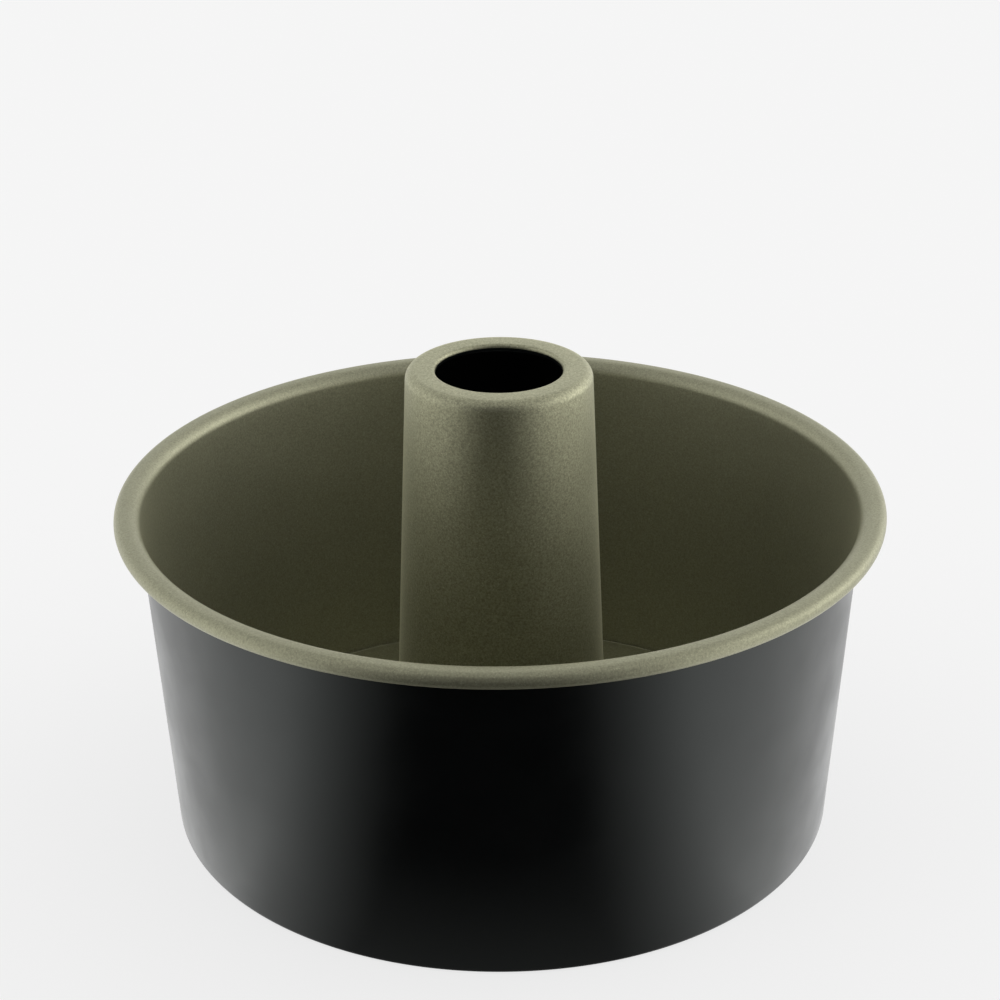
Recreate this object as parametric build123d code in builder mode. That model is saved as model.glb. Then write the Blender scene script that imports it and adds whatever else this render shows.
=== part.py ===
from build123d import *

import math
import os

# Angel food cake pan with a lift-out insert, in millimetres, +Z up.
#
# The origin is on the table, under the centre of the pan. The pan is three pieces of coated sheet metal:
# pan_ring, the outer wall with its curled rim and the ledge at its foot; base_plate, the loose floor that
# rests on the ledge; and centre_tube, the tall cone that is swaged into the floor's hole. The floor and the
# tube lift out of the ring together.
#
# Each piece is turned from one sheet: the middle of the sheet is drawn as a line from edge to edge, traced
# at the sheet's thickness, and revolved about the Z axis.

# Ring: overall sizes
rim_diameter = 250.0
rim_height = 111.5
rim_width = 8.35  # from the inside of the wall to the rim's outer edge
base_diameter = 220.4  # outside of the wall, carried down to the table
ledge_width = 10.0  # from the outside of the wall inwards

# Ring: sheet and bends, each radius on the outside of its bend
ring_sheet = 0.8
ring_corner_radius = 1.8
rim_bend_radius = 4.4
curl_radius = 2.8
curl_turn = 262.0  # degrees, from the flange round to the sheet's edge

# Base plate
plate_sheet = 1.0
plate_step_height = 2.5  # lifts the middle of the plate, so that the seam clears the table
plate_step_diameter = 104.0  # at the foot of the step
plate_step_slope = 45.0  # degrees
plate_bend_radius = 2.0
plate_edge_rounding = 0.4  # on both corners of the outer edge

# Centre tube: overall sizes, on the outside of the sheet
tube_height = 154.4
tube_top_diameter = 60.0  # of the cone, carried up to the tube's top
tube_foot_diameter = 72.4  # of the cone, carried down to the ridge
bottle_hole_diameter = 41.0

# Centre tube: sheet and bends, each radius on the outside of its bend
tube_sheet = 0.8
shoulder_radius = 3.4
lip_radius = 1.2
lip_straight = 1.1  # from the lip's bend down to the sheet's edge

# Swaged seam between the tube and the plate
ridge_width = 2.2  # the folded ridge above the plate, out from the cone
ridge_fold_gap = 0.3  # between the two layers of the fold
seam_flange_width = 3.2  # the flange under the plate, out from the neck
seam_bend_radius = 1.0

# Clearances
plate_gap = 0.3  # from the flat of the plate to the bend at the ring's corner
seam_gap = 0.1  # from the plate's hole to the bends at the ends of the tube's neck

# Ring: the middle of the sheet
ring_half = ring_sheet / 2
wall_foot_radius = base_diameter / 2 - ring_half
wall_top_radius = rim_diameter / 2 - rim_width + ring_half
rim_middle = rim_height - ring_half
curl_centre_radius = rim_diameter / 2 - curl_radius
ledge_edge_radius = base_diameter / 2 - ledge_width
ring_corner_middle = ring_corner_radius - ring_half
# The flat of the ledge ends where the bend up into the drafted wall begins
wall_draft = math.atan((wall_top_radius - wall_foot_radius) / (rim_middle - ring_half))
ledge_flat_radius = wall_foot_radius - ring_corner_middle * math.tan((math.pi / 2 - wall_draft) / 2)

# Centre tube: the middle of the sheet, from the lip down to the seam round the plate's hole
tube_half = tube_sheet / 2
lip_middle_radius = bottle_hole_diameter / 2 + tube_half
lip_edge = tube_height - lip_radius - lip_straight
tube_top_middle = tube_height - tube_half
tube_top_radius = tube_top_diameter / 2 - tube_half
tube_foot_radius = tube_foot_diameter / 2 - tube_half
seam_bend_middle = seam_bend_radius - tube_half
plate_top = ring_sheet + plate_sheet + plate_step_height
plate_underside = plate_top - plate_sheet
ridge_low = plate_top + tube_half
ridge_fold_middle = (tube_sheet + ridge_fold_gap) / 2
ridge_high = ridge_low + 2 * ridge_fold_middle
ridge_fold_radius = tube_foot_diameter / 2 + ridge_width - tube_half - ridge_fold_middle
neck_radius = tube_foot_radius
seam_flange_middle = plate_underside - tube_half
seam_flange_edge = neck_radius + tube_half + seam_flange_width

# Base plate: the middle of the sheet, from the hole out to the edge over the ledge
plate_half = plate_sheet / 2
plate_low_middle = ring_sheet + plate_half
plate_high_middle = plate_low_middle + plate_step_height
plate_hole_radius = neck_radius + tube_half + seam_bend_radius - tube_sheet + seam_gap
step_foot_radius = plate_step_diameter / 2
step_head_radius = step_foot_radius - plate_step_height / math.tan(math.radians(plate_step_slope))
plate_edge_radius = ledge_flat_radius - plate_gap + plate_edge_rounding

# Pan ring: ledge, drafted wall, bend over the rim and hollow curl
with BuildPart() as pan_ring:
    with BuildSketch(Plane.XZ):
        with BuildLine():
            wall = FilletPolyline(
                (ledge_edge_radius, ring_half),
                (wall_foot_radius, ring_half),
                (wall_top_radius, rim_middle),
                (curl_centre_radius, rim_middle),
                radius=[ring_corner_middle, rim_bend_radius - ring_half],
            )
            JernArc(
                start=wall @ 1,
                tangent=wall % 1,
                radius=curl_radius - ring_half,
                arc_size=-curl_turn,
            )
        trace(line_width=ring_sheet)
    revolve(axis=Axis.Z)
pan_ring.part.label = "pan_ring"

# Base plate: flat floor with a shallow step up to the hole for the tube
with BuildPart() as base_plate:
    with BuildSketch(Plane.XZ) as plate_section:
        with BuildLine():
            floor = FilletPolyline(
                (plate_hole_radius, plate_high_middle),
                (step_head_radius, plate_high_middle),
                (step_foot_radius, plate_low_middle),
                (plate_edge_radius, plate_low_middle),
                radius=plate_bend_radius - plate_half,
            )
        trace(line_width=plate_sheet)
        outer_corners = plate_section.vertices().sort_by_distance(floor @ 1)[:2]
        fillet(outer_corners, radius=plate_edge_rounding)
    revolve(axis=Axis.Z)
base_plate.part.label = "base_plate"

# Centre tube: lip of the bottle hole, shoulder, cone, ridge folded over the plate, neck through the plate's
# hole and flange under it
with BuildPart() as centre_tube:
    with BuildSketch(Plane.XZ):
        with BuildLine():
            cone = FilletPolyline(
                (lip_middle_radius, lip_edge),
                (lip_middle_radius, tube_top_middle),
                (tube_top_radius, tube_top_middle),
                (tube_foot_radius, ridge_high),
                (ridge_fold_radius, ridge_high),
                radius=[lip_radius - tube_half, shoulder_radius - tube_half, seam_bend_middle],
            )
            fold = JernArc(
                start=cone @ 1,
                tangent=cone % 1,
                radius=ridge_fold_middle,
                arc_size=-180,
            )
            FilletPolyline(
                fold @ 1,
                (neck_radius, ridge_low),
                (neck_radius, seam_flange_middle),
                (seam_flange_edge, seam_flange_middle),
                radius=seam_bend_middle,
            )
        trace(line_width=tube_sheet)
    revolve(axis=Axis.Z)
centre_tube.part.label = "centre_tube"

os.makedirs("parts", exist_ok=True)
export_step(pan_ring.part, "parts/pan_ring.step")
export_step(base_plate.part, "parts/base_plate.step")
export_step(centre_tube.part, "parts/centre_tube.step")
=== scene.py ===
import math

import bpy
from mathutils import Matrix, Vector


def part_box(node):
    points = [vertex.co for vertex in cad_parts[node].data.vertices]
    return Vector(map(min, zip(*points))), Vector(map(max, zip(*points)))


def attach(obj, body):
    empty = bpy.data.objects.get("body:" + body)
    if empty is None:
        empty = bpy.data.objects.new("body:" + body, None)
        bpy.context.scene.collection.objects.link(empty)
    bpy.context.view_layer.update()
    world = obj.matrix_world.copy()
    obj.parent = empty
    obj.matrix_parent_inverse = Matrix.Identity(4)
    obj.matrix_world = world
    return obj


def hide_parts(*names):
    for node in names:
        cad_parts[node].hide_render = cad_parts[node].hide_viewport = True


# The looks of an angel food cake pan, in metres, +Z up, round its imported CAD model.
#
# The pan is three pieces of coated sheet metal: the ring with its curled rim, the loose floor plate and the
# centre tube. Each is turned here from the middle line of its sheet, as in the CAD model, but with finer
# facets and with a coating of its own on each side: champagne where the batter goes, near-black outside.

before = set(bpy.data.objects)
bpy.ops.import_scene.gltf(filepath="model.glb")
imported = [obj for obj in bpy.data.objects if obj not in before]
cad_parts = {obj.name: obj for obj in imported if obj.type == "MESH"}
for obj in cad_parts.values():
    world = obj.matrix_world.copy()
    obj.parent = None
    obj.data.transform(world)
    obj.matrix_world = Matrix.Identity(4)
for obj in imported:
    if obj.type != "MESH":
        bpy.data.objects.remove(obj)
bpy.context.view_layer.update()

MM = 0.001
FOOD_SIDE, OUTER_SIDE = 0, 1

# Sizes read from the frame
_, ring_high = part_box("pan_ring")
plate_low, plate_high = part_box("base_plate")
tube_low, tube_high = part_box("centre_tube")
rim_radius = min(ring_high.x, ring_high.y)
plate_radius = min(plate_high.x, plate_high.y)
flange_radius = min(tube_high.x, tube_high.y)

# The other sizes are the CAD model's own. Each bend's radius is on the outside of the bend.

# Ring
ring_sheet = 0.8 * MM
rim_width = 8.35 * MM
foot_radius = 110.2 * MM
ledge_width = 10.0 * MM
ring_corner_radius = 1.8 * MM
rim_bend_radius = 4.4 * MM
curl_radius = 2.8 * MM
curl_turn = math.radians(262)

# Floor plate
plate_sheet = 1.0 * MM
plate_step_radius = 52.0 * MM
plate_step_slope = math.radians(45)
plate_bend_radius = 2.0 * MM
plate_hole_radius = 36.5 * MM
plate_edge_rounding = 0.4 * MM

# Centre tube
tube_sheet = 0.8 * MM
tube_top_radius = 30.0 * MM
tube_foot_radius = 36.2 * MM
bottle_hole_radius = 20.5 * MM
shoulder_radius = 3.4 * MM
lip_radius = 1.2 * MM
lip_straight = 1.1 * MM
ridge_width = 2.2 * MM
ridge_fold_gap = 0.3 * MM
seam_bend_radius = 1.0 * MM

# How fine the meshes are
turn_steps = 384
line_step = 5.0 * MM
bend_step = math.radians(8)
fewest_bend_steps = 3
edge_rounding = 0.12 * MM  # of the cut edges that the CAD model leaves sharp
rounding_steps = 4


class SheetLine:
    """The middle of a sheet, drawn as a walk in the (radius, height) half plane.

    Its points carry the way's heading there, so that both faces of the sheet can be set off from it.
    The food side is always on the left of the way.
    """

    def __init__(self, radius, height, heading):
        self.at = Vector((radius, height))
        self.heading = heading
        self.points = [(self.at.copy(), heading)]

    def go(self, length):
        """Walks straight on."""
        steps = max(1, math.ceil(length / line_step))
        way = Vector((math.cos(self.heading), math.sin(self.heading)))
        for _ in range(steps):
            self.at = self.at + way * (length / steps)
            self.points.append((self.at.copy(), self.heading))

    def bend(self, radius, turn):
        """Walks round a bend, to the left where turn is positive."""
        steps = max(fewest_bend_steps, math.ceil(abs(turn) / bend_step))
        side = math.copysign(1, turn)
        left = Vector((-math.sin(self.heading), math.cos(self.heading)))
        centre = self.at + left * (radius * side)
        for _ in range(steps):
            self.heading += turn / steps
            left = Vector((-math.sin(self.heading), math.cos(self.heading)))
            self.at = centre - left * (radius * side)
            self.points.append((self.at.copy(), self.heading))

    def go_to_height(self, height):
        """Walks straight on to a height."""
        self.go((height - self.at.y) / math.sin(self.heading))

    def go_to_radius(self, radius):
        """Walks straight on to a distance from the axis."""
        self.go((radius - self.at.x) / math.cos(self.heading))


def bend_room(radius, turn):
    """How far before its corner a bend starts."""
    return radius * math.tan(abs(turn) / 2)


def rounded_end(at, heading, half, rounding):
    """Points round the cut edge of a sheet, from its left face to its right face, looking along heading."""
    way = Vector((math.cos(heading), math.sin(heading)))
    left = Vector((-way.y, way.x))
    points = []
    for side in (1, -1):
        centre = at - way * rounding + left * (side * (half - rounding))
        angles = [math.pi / 2 * i / rounding_steps for i in range(rounding_steps + 1)]
        for angle in angles if side == 1 else reversed(angles):
            points.append(centre + (way * math.sin(angle) + left * (side * math.cos(angle))) * rounding)
    return points


def sheet_outline(line, thickness, end_rounding=edge_rounding, first_side=FOOD_SIDE):
    """The closed outline of the sheet round its middle line, as (point, side of the stretch after it).

    end_rounding is on the sheet's edge at the line's end, and first_side is the coating on the food side of
    the line's first stretch.
    """
    half = thickness / 2

    def face(side):
        """Points of the food face, where side is 1, or of the outer face, where it is -1."""
        points = []
        for at, heading in line.points[1:-1]:
            left = Vector((-math.sin(heading), math.cos(heading)))
            points.append(at + left * (half * side))
        return points

    first_at, first_heading = line.points[0]
    last_at, last_heading = line.points[-1]
    outline = [(point, FOOD_SIDE) for point in face(1)]
    # A cut edge has the outer coating, but for its rounding on the food side
    end = rounded_end(last_at, last_heading, half, end_rounding)
    for i, point in enumerate(end):
        outline.append((point, FOOD_SIDE if i < len(end) // 2 - 1 else OUTER_SIDE))
    outline += [(point, OUTER_SIDE) for point in reversed(face(-1))]
    start = rounded_end(first_at, first_heading + math.pi, half, edge_rounding)
    for i, point in enumerate(start):
        outline.append((point, OUTER_SIDE if i < len(start) // 2 else first_side))
    return outline


def turned_sheet(name, outline, materials):
    """A closed mesh made by turning an outline about the Z axis, with one material slot for each side."""
    rows = len(outline)
    vertices = []
    for step in range(turn_steps):
        angle = 2 * math.pi * step / turn_steps
        cosine = math.cos(angle)
        sine = math.sin(angle)
        vertices += [(point.x * cosine, point.x * sine, point.y) for point, _ in outline]
    faces = []
    sides = []
    for step in range(turn_steps):
        here = step * rows
        there = (step + 1) % turn_steps * rows
        for row in range(rows):
            after = (row + 1) % rows
            faces.append((here + row, here + after, there + after, there + row))
            sides.append(outline[row][1])
    mesh = bpy.data.meshes.new(name)
    mesh.from_pydata(vertices, [], faces)
    for material in materials:
        mesh.materials.append(material)
    mesh.polygons.foreach_set("material_index", sides)
    mesh.polygons.foreach_set("use_smooth", [True] * len(faces))
    mesh.update()
    piece = bpy.data.objects.new(name, mesh)
    bpy.context.scene.collection.objects.link(piece)
    return piece


# Materials

# Each pattern is a noise, given as its cells to the metre and how many finer layers it has. A stretch is the
# part of a noise over which a pattern goes from nothing to full.
noise_middle = (0.35, 0.65)

# Champagne coating
champagne = (1.0, 0.99, 0.68)  # its hue, as shares of its brightness
sheen_roughness = 0.4  # of the clear lacquer over it, which shines at a grazing look
champagne_clouds = (28, 2)
cloud_contrast = 0.02  # how much lighter the clouds are than the rest, as a share of the brightness
champagne_grain = (1500, 2)
grain_stretch = (0.3, 0.7)
champagne_flakes = (2600, 1)
flake_stretch = (0.6, 0.8)
flake_gain = 3  # how much further from the coating's brightness the flakes go than the grain
champagne_patches = (60, 3)  # a little rougher or smoother
patch_swing = 0.02
champagne_peel = (900, 2)
champagne_peel_bump = {"strength": 0.5, "distance": 0.02 * MM}
champagne_ripple = (2200, 1)
champagne_ripple_bump = {"strength": 0.8, "distance": 0.03 * MM}

# Near-black coating
black_clouds = (30, 2)
black_dark = (0.0021, 0.0023, 0.0027)
black_light = (0.0025, 0.0027, 0.0032)
black_gloss_tint = (0.92, 1.0, 0.95, 1)
black_patches = (50, 3)
black_roughness = (0.3, 0.36)
black_peel = (700, 2)
black_peel_bump = {"strength": 0.3, "distance": 0.015 * MM}


def new_material(name):
    """A new node material, its node tree and its Principled shader."""
    material = bpy.data.materials.new(name)
    material.use_nodes = True
    tree = material.node_tree
    shader = next(node for node in tree.nodes if node.type == "BSDF_PRINCIPLED")
    return material, tree, shader


def noise(tree, place, cells, layers):
    """A noise with so many cells to the metre and so many finer layers."""
    node = tree.nodes.new("ShaderNodeTexNoise")
    node.inputs["Scale"].default_value = cells
    node.inputs["Detail"].default_value = layers
    tree.links.new(place, node.inputs["Vector"])
    return node.outputs["Fac"]


def spread(tree, value, low=0.0, high=1.0, stretch=noise_middle):
    """Maps a stretch of a value to low..high, and keeps to low before it and to high after it."""
    node = tree.nodes.new("ShaderNodeMapRange")
    node.inputs["From Min"].default_value = stretch[0]
    node.inputs["From Max"].default_value = stretch[1]
    node.inputs["To Min"].default_value = low
    node.inputs["To Max"].default_value = high
    tree.links.new(value, node.inputs["Value"])
    return node.outputs["Result"]


def mix_colours(tree, amount, first, second):
    """The first colour where amount is 0, and the second where it is 1."""
    node = tree.nodes.new("ShaderNodeMix")
    node.data_type = "RGBA"
    inputs = {socket.name: socket for socket in node.inputs if socket.type == "RGBA"}
    tree.links.new(amount, node.inputs["Factor"])
    for socket, value in ((inputs["A"], first), (inputs["B"], second)):
        if isinstance(value, tuple):
            socket.default_value = (*value, 1)
        else:
            tree.links.new(value, socket)
    return next(socket for socket in node.outputs if socket.type == "RGBA")


def bump(tree, height, strength, distance, normal=None):
    """A surface raised by height times distance, on top of another bump where normal is given."""
    node = tree.nodes.new("ShaderNodeBump")
    node.inputs["Strength"].default_value = strength
    node.inputs["Distance"].default_value = distance
    tree.links.new(height, node.inputs["Height"])
    if normal is not None:
        tree.links.new(normal, node.inputs["Normal"])
    return node.outputs["Normal"]


def piece_place(tree):
    """Where a point is on its piece, in metres, so that the patterns ride with the piece."""
    return tree.nodes.new("ShaderNodeTexCoord").outputs["Object"]


def food_coating(name, brightness, metal, roughness, sheen, graininess):
    """Champagne non-stick coating: a satin metallic film with fine flakes and a faint orange peel."""
    material, tree, shader = new_material(name)
    place = piece_place(tree)

    def shade(share):
        """The champagne hue at a share of the coating's brightness."""
        return tuple(part * brightness * share for part in champagne)

    clouds = spread(tree, noise(tree, place, *champagne_clouds))
    light_grain = mix_colours(tree, clouds, shade(1 - cloud_contrast + graininess), shade(1 + graininess))
    grain = spread(tree, noise(tree, place, *champagne_grain), stretch=grain_stretch)
    colour = mix_colours(tree, grain, shade(1 - graininess), light_grain)
    flakes = spread(tree, noise(tree, place, *champagne_flakes), stretch=flake_stretch)
    colour = mix_colours(tree, flakes, colour, shade(1 + flake_gain * graininess))
    tree.links.new(colour, shader.inputs["Base Color"])
    shader.inputs["Metallic"].default_value = metal
    shader.inputs["Sheen Weight"].default_value = sheen
    shader.inputs["Sheen Roughness"].default_value = sheen_roughness
    shader.inputs["Sheen Tint"].default_value = (*champagne, 1)
    patches = noise(tree, place, *champagne_patches)
    rough = spread(tree, patches, roughness - patch_swing, roughness + patch_swing)
    tree.links.new(rough, shader.inputs["Roughness"])
    peel = bump(tree, noise(tree, place, *champagne_peel), **champagne_peel_bump)
    ripple = bump(tree, noise(tree, place, *champagne_ripple), **champagne_ripple_bump, normal=peel)
    tree.links.new(ripple, shader.inputs["Normal"])
    return material


def outer_coating():
    """Near-black non-stick coating: a smooth dark film with a soft gloss."""
    material, tree, shader = new_material("black_coating")
    place = piece_place(tree)
    clouds = spread(tree, noise(tree, place, *black_clouds))
    colour = mix_colours(tree, clouds, black_dark, black_light)
    tree.links.new(colour, shader.inputs["Base Color"])
    shader.inputs["Specular Tint"].default_value = black_gloss_tint
    rough = spread(tree, noise(tree, place, *black_patches), *black_roughness)
    tree.links.new(rough, shader.inputs["Roughness"])
    peel = bump(tree, noise(tree, place, *black_peel), **black_peel_bump)
    tree.links.new(peel, shader.inputs["Normal"])
    return material


# Pieces

def ring_line():
    """Ledge, corner, drafted wall, bend out into the rim, the rim's flat and its curl."""
    half = ring_sheet / 2
    foot = foot_radius - half
    wall_top = rim_radius - rim_width + half
    top = ring_high.z - half
    turn = math.atan2(top - half, wall_top - foot)
    corner = ring_corner_radius - half
    bend = rim_bend_radius - half
    curl = curl_radius - half
    line = SheetLine(foot_radius - ledge_width, half, 0)
    line.go_to_radius(foot - bend_room(corner, turn))
    line.bend(corner, turn)
    line.go_to_height(top - bend * (1 - math.cos(turn)))
    line.bend(bend, -turn)
    line.go_to_radius(rim_radius - curl_radius)
    line.bend(curl, -curl_turn)
    return line


def plate_line():
    """Raised middle from the tube's hole, step down and flat out to the edge."""
    half = plate_sheet / 2
    bend = plate_bend_radius - half
    room = bend_room(bend, plate_step_slope)
    high = plate_high.z - half
    low = plate_low.z + half
    head = plate_step_radius - (high - low) / math.tan(plate_step_slope)
    line = SheetLine(plate_hole_radius, high, 0)
    line.go_to_radius(head - room)
    line.bend(bend, -plate_step_slope)
    line.go_to_height(low + bend * (1 - math.cos(plate_step_slope)))
    line.bend(bend, plate_step_slope)
    line.go_to_radius(plate_radius)
    return line


def tube_line():
    """Lip, flat top, shoulder, cone, folded ridge, neck and flange under the plate."""
    half = tube_sheet / 2
    quarter = math.pi / 2
    top = tube_high.z - half
    cone_top = tube_top_radius - half
    cone_foot = tube_foot_radius - half
    fold = (tube_sheet + ridge_fold_gap) / 2
    ridge_low = plate_high.z + half
    ridge_high = ridge_low + 2 * fold
    turn = math.atan2(top - ridge_high, cone_foot - cone_top)
    seam = seam_bend_radius - half
    lip = lip_radius - half
    shoulder = shoulder_radius - half
    line = SheetLine(bottle_hole_radius + half, top + half - lip_radius - lip_straight, quarter)
    line.go_to_height(top - lip)
    line.bend(lip, -quarter)
    line.go_to_radius(cone_top - bend_room(shoulder, turn))
    line.bend(shoulder, -turn)
    line.go_to_height(ridge_high + seam * (1 - math.cos(turn)))
    line.bend(seam, turn)
    line.go_to_radius(tube_foot_radius + ridge_width - half - fold)
    line.bend(fold, -2 * quarter)
    line.go_to_radius(cone_foot + seam)
    line.bend(seam, quarter)
    line.go_to_height(tube_low.z + half + seam)
    line.bend(seam, quarter)
    line.go_to_radius(flange_radius)
    return line


# Stage
#
# Directions are given from the pan, in degrees: azimuth from the front (-Y) towards +X, and elevation.

# The studio is white, but for the dark room round the camera. A front is the azimuth and elevation of that
# room's middle, and the angles from there at which the dark ends and the full white begins.
sky_white = 1.15
sky_front = (-3, 5, 27, 60)
# The floor's brightness as seen only in the pan's gloss, a painted reflection: a white glow, dark in front
floor_white = 1.3
floor_front = (-3, 0, 22, 52)
# Soft lights on the sky, and darker places where the brightness is below zero. Each has its azimuth,
# elevation, narrowness and brightness.
sky_lights = (
    (108, 12, 10.0, 1.6),
    (0, 90, 2.5, -0.75),
    (-165, 15, 12.0, -0.3),
    (-3, 8, 20.0, 0.2),
)
white = (1, 1, 1, 1)

# Floor, with a painted reflection round the pan's foot: a glow seen only in the pan's gloss, full out to
# table_radius and gone table_fade further out
painted_table_reflection = 0.2
table_radius = 112.0 * MM
table_fade = 50.0 * MM
floor_colour = (0.9, 0.9, 0.9, 1)
floor_glow_share = 0.75  # of pure white in what the camera sees; the rest is shaded, and shows the shadow
floor_reach = 6.0
floor_drop = 0.05 * MM  # keeps it clear of the pan's foot

# Camera, fitted to the outlines of the pan in the photograph
camera_place = (0, -717.6 * MM, 438.3 * MM)
camera_down = 24.72  # degrees below level
camera_roll = -0.44  # degrees
camera_lens = 87.05  # focal length in millimetres, for the sensor's width
sensor_width = 36.0
camera_nearest = 10.0 * MM


def calculate(tree, operation, *values):
    """The result of a Math node. A plain number needs its decimal point, and all else is a socket."""
    node = tree.nodes.new("ShaderNodeMath")
    node.operation = operation
    for socket, value in zip(node.inputs, values):
        if isinstance(value, float):
            socket.default_value = value
        else:
            tree.links.new(value, socket)
    return node.outputs[0]


def towards(tree, way, azimuth, elevation):
    """The cosine between a way and a direction."""
    turn = math.radians(azimuth)
    rise = math.radians(elevation)
    node = tree.nodes.new("ShaderNodeVectorMath")
    node.operation = "DOT_PRODUCT"
    tree.links.new(way, node.inputs[0])
    level = math.cos(rise)
    node.inputs[1].default_value = (math.sin(turn) * level, -math.cos(turn) * level, math.sin(rise))
    return node.outputs["Value"]


def studio_glow(tree, way, brightness, front, lights):
    """How bright the studio is along a way from the pan: even, but dark in front, with soft lights on it."""
    azimuth, elevation, dark_to, white_from = front
    middle = towards(tree, way, azimuth, elevation)
    edges = [math.cos(math.radians(angle)) for angle in (white_from, dark_to)]
    total = spread(tree, middle, brightness, 0.0, edges)
    for azimuth, elevation, narrowness, strength in lights:
        facing = calculate(tree, "MAXIMUM", towards(tree, way, azimuth, elevation), 0.0)
        light = calculate(tree, "POWER", facing, narrowness)
        total = calculate(tree, "MULTIPLY_ADD", light, strength, total)
    return calculate(tree, "MAXIMUM", total, 0.0)


def seen_by(tree, *rays):
    """1 for the given kinds of ray, else 0."""
    path = tree.nodes.new("ShaderNodeLightPath")
    total = path.outputs[rays[0]]
    for ray in rays[1:]:
        total = calculate(tree, "MAXIMUM", total, path.outputs[ray])
    return total


def blend_values(tree, amount, first, second):
    """The first value where amount is 0, and the second where it is 1."""
    node = tree.nodes.new("ShaderNodeMix")
    inputs = {socket.name: socket for socket in node.inputs if socket.type == "VALUE"}
    for name, value in (("Factor", amount), ("A", first), ("B", second)):
        if isinstance(value, float):
            inputs[name].default_value = value
        else:
            tree.links.new(value, inputs[name])
    return next(socket for socket in node.outputs if socket.type == "VALUE")


def add_floor():
    """A pale floor.

    To the camera it is white with a share of the pan's shadow. In the pan's gloss it is a painted
    reflection: a glow, dark in front and brighter round the pan's foot, that no lamp gives it. To all other
    light it is a plain pale surface.
    """
    mesh = bpy.data.meshes.new("floor")
    edge = floor_reach
    height = -floor_drop
    corners = [(-edge, -edge, height), (edge, -edge, height), (edge, edge, height), (-edge, edge, height)]
    mesh.from_pydata(corners, [], [(0, 1, 2, 3)])
    material, tree, shader = new_material("floor_white")
    shader.inputs["Base Color"].default_value = floor_colour
    shader.inputs["Roughness"].default_value = 1.0
    shader.inputs["Specular IOR Level"].default_value = 0.0
    place = tree.nodes.new("ShaderNodeNewGeometry").outputs["Position"]
    way = tree.nodes.new("ShaderNodeVectorMath")
    way.operation = "NORMALIZE"
    tree.links.new(place, way.inputs[0])
    glow_strength = studio_glow(tree, way.outputs["Vector"], floor_white, floor_front, ())
    distance = tree.nodes.new("ShaderNodeVectorMath")
    distance.operation = "LENGTH"
    tree.links.new(place, distance.inputs[0])
    fade = (table_radius, table_radius + table_fade)
    table = spread(tree, distance.outputs["Value"], painted_table_reflection, 0.0, fade)
    glow_strength = calculate(tree, "ADD", glow_strength, table)
    camera = seen_by(tree, "Is Camera Ray")
    glow = tree.nodes.new("ShaderNodeEmission")
    tree.links.new(blend_values(tree, camera, glow_strength, 1.0), glow.inputs["Strength"])
    # Glossy and transmission rays see the floor's glow in full, a painted reflection in the pan
    mirrored = seen_by(tree, "Is Glossy Ray", "Is Transmission Ray")
    share = blend_values(tree, camera, mirrored, floor_glow_share)
    blend = tree.nodes.new("ShaderNodeMixShader")
    tree.links.new(share, blend.inputs["Fac"])
    tree.links.new(shader.outputs["BSDF"], blend.inputs[1])
    tree.links.new(glow.outputs["Emission"], blend.inputs[2])
    output = next(node for node in tree.nodes if node.type == "OUTPUT_MATERIAL")
    tree.links.new(blend.outputs["Shader"], output.inputs["Surface"])
    mesh.materials.append(material)
    floor = bpy.data.objects.new("floor", mesh)
    bpy.context.scene.collection.objects.link(floor)


def add_world():
    """The sky: white to the camera, and the studio's glow to all other light."""
    world = bpy.data.worlds.new("studio")
    bpy.context.scene.world = world
    world.use_nodes = True
    tree = world.node_tree
    background = next(node for node in tree.nodes if node.type == "BACKGROUND")
    way = tree.nodes.new("ShaderNodeTexCoord").outputs["Generated"]
    glow_strength = studio_glow(tree, way, sky_white, sky_front, sky_lights)
    camera = seen_by(tree, "Is Camera Ray")
    tree.links.new(blend_values(tree, camera, glow_strength, 1.0), background.inputs["Strength"])
    background.inputs["Color"].default_value = white


def add_camera():
    """The photograph's view, from the front and above, aimed at the axis a little under the rim's height."""
    data = bpy.data.cameras.new("camera")
    data.sensor_width = sensor_width
    data.lens = camera_lens
    data.clip_start = camera_nearest
    camera = bpy.data.objects.new("camera", data)
    tilt = math.radians(90 - camera_down)
    roll = math.radians(camera_roll)
    camera.matrix_world = (
        Matrix.Translation(camera_place)
        @ Matrix.Rotation(tilt, 4, "X")
        @ Matrix.Rotation(roll, 4, "Z")
    )
    bpy.context.scene.collection.objects.link(camera)
    bpy.context.scene.camera = camera


# The whole scene

outer = outer_coating()
food = food_coating(
    "champagne_coating",
    brightness=0.33,
    metal=0.8,
    roughness=0.46,
    sheen=0.2,
    graininess=0.17,
)
# The same champagne coating on the tube, a little grainier and with more sheen; its lighter base colour is
# painted light, a lit copy of the ring's coating
tube_food_lit_copy = food_coating(
    "tube_coating_lit_copy",
    brightness=0.37,
    metal=1.0,
    roughness=0.52,
    sheen=0.6,
    graininess=0.25,
)

ring = turned_sheet("ring_sheet", sheet_outline(ring_line(), ring_sheet), (food, outer))
plate_outline = sheet_outline(plate_line(), plate_sheet, end_rounding=plate_edge_rounding)
plate = turned_sheet("floor_sheet", plate_outline, (food, outer))
# The champagne coating ends at the lip's bend, and the straight of the lip is dark
tube_outline = sheet_outline(tube_line(), tube_sheet, first_side=OUTER_SIDE)
tube = turned_sheet("tube_sheet", tube_outline, (tube_food_lit_copy, outer))

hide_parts("pan_ring")
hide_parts("base_plate")
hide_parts("centre_tube")
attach(ring, "ring")
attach(plate, "insert")
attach(tube, "insert")

add_floor()
add_world()
add_camera()

bpy.context.scene.view_settings.view_transform = "Standard"
